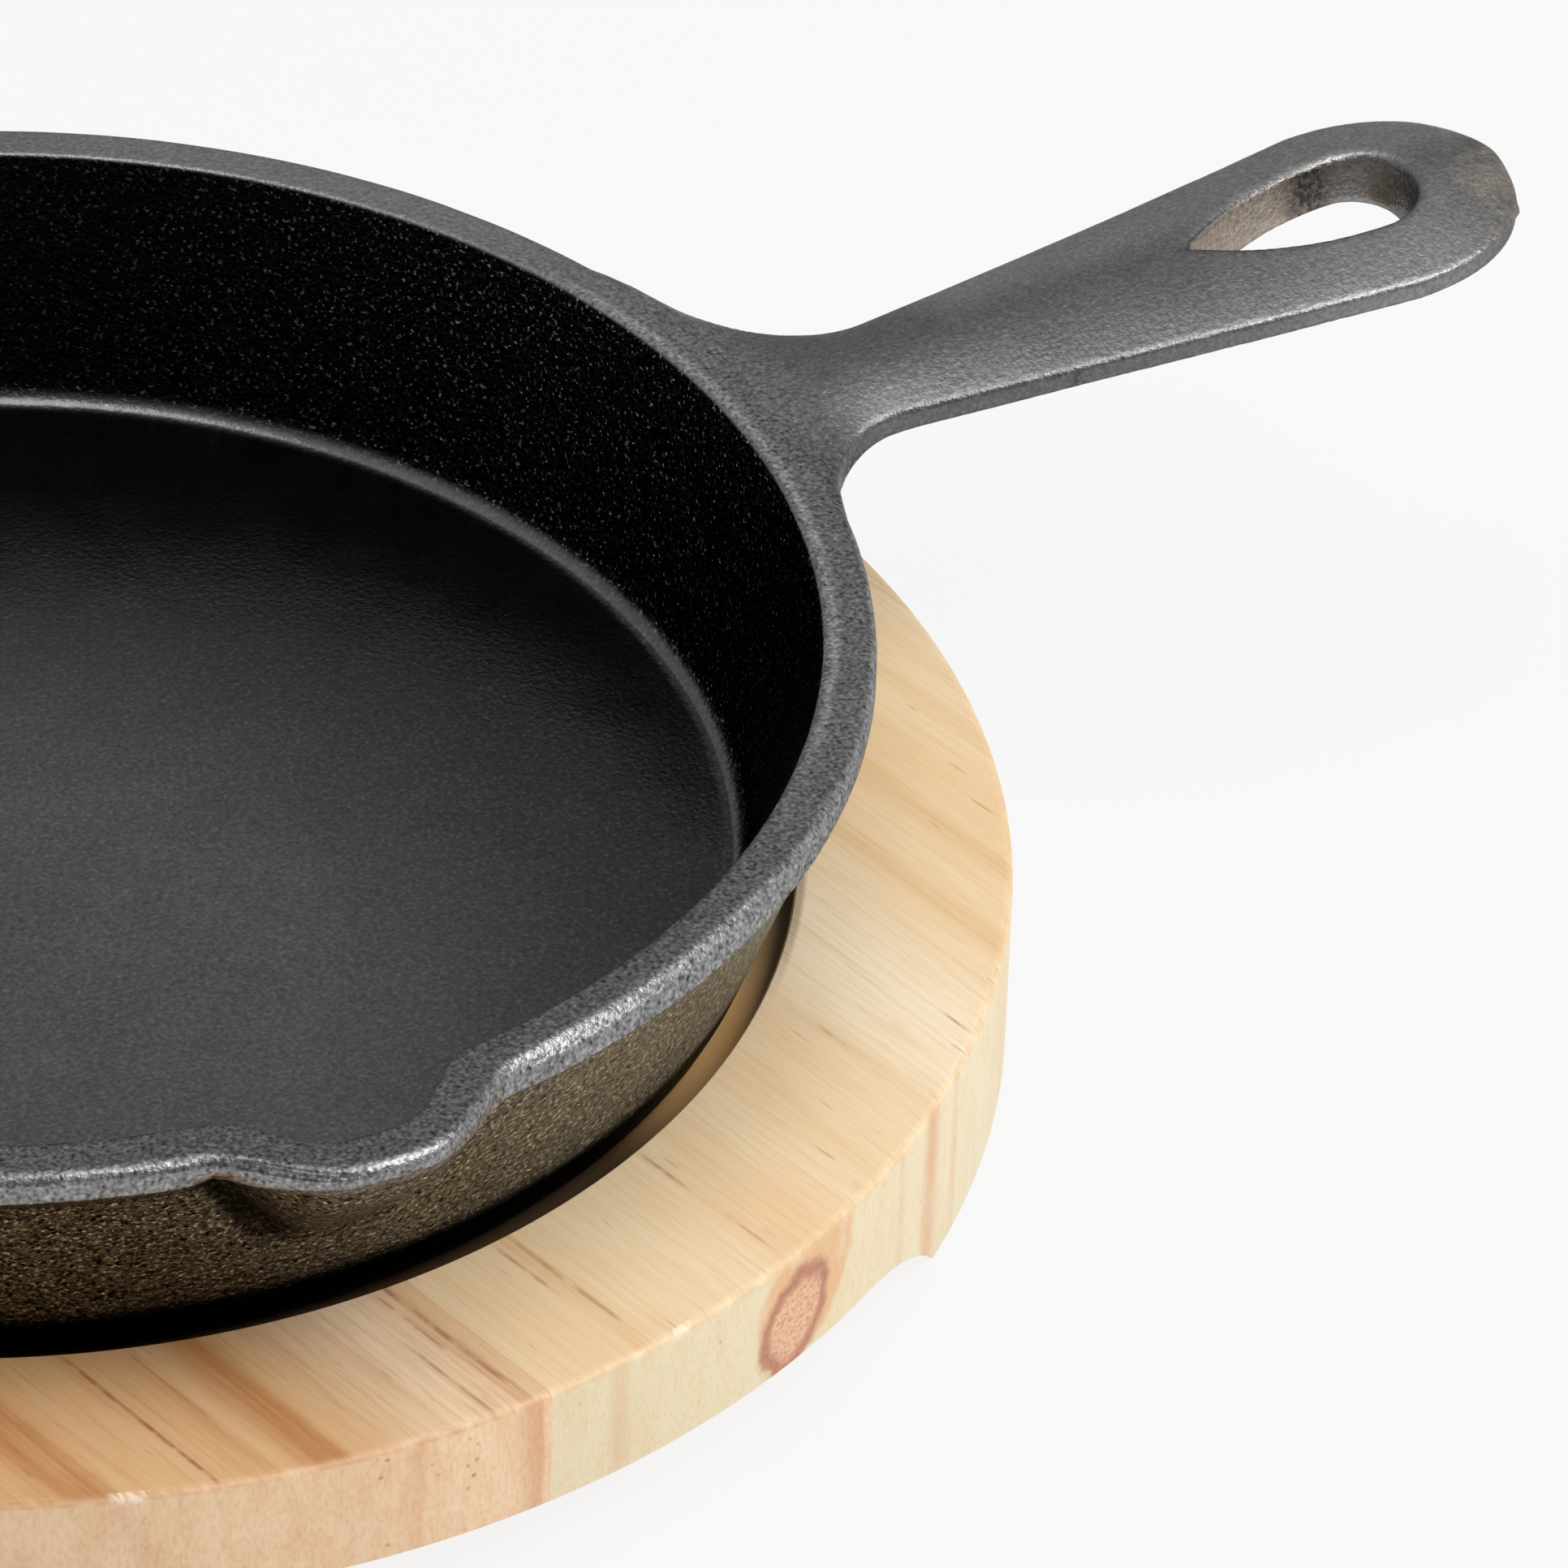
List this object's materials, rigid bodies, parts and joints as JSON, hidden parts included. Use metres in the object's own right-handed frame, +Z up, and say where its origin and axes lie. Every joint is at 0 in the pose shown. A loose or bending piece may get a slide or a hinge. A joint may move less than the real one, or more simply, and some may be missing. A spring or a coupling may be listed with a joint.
{
  "type": "sizzle platter",
  "caption": "Round cast iron sizzle pan with pouring spouts and a loop-ended handle, resting in the recess of a round pine serving board with finger scoops.",
  "frame": {"origin": "centre of the board's underside, on the axis of the board and the pan", "axes": "+X along the handle towards its tip, +Z up, +Y towards the far pouring spout"},
  "size_m": [0.3111, 0.2324, 0.0611],
  "materials": {
    "iron": "bare sand-cast iron, dull grey-black with fine grit and a lighter worn rim",
    "pine_narrow": "planed pine, pale tan with orange grain, satin",
    "pine_wide": "planed pine, pale yellow with orange grain and a side knot, satin"
  },
  "bodies": {
    "root": {"iron_pan": "iron", "board_plank_narrow": "pine_narrow", "board_plank_wide": "pine_wide"}
  },
  "joints": []
}
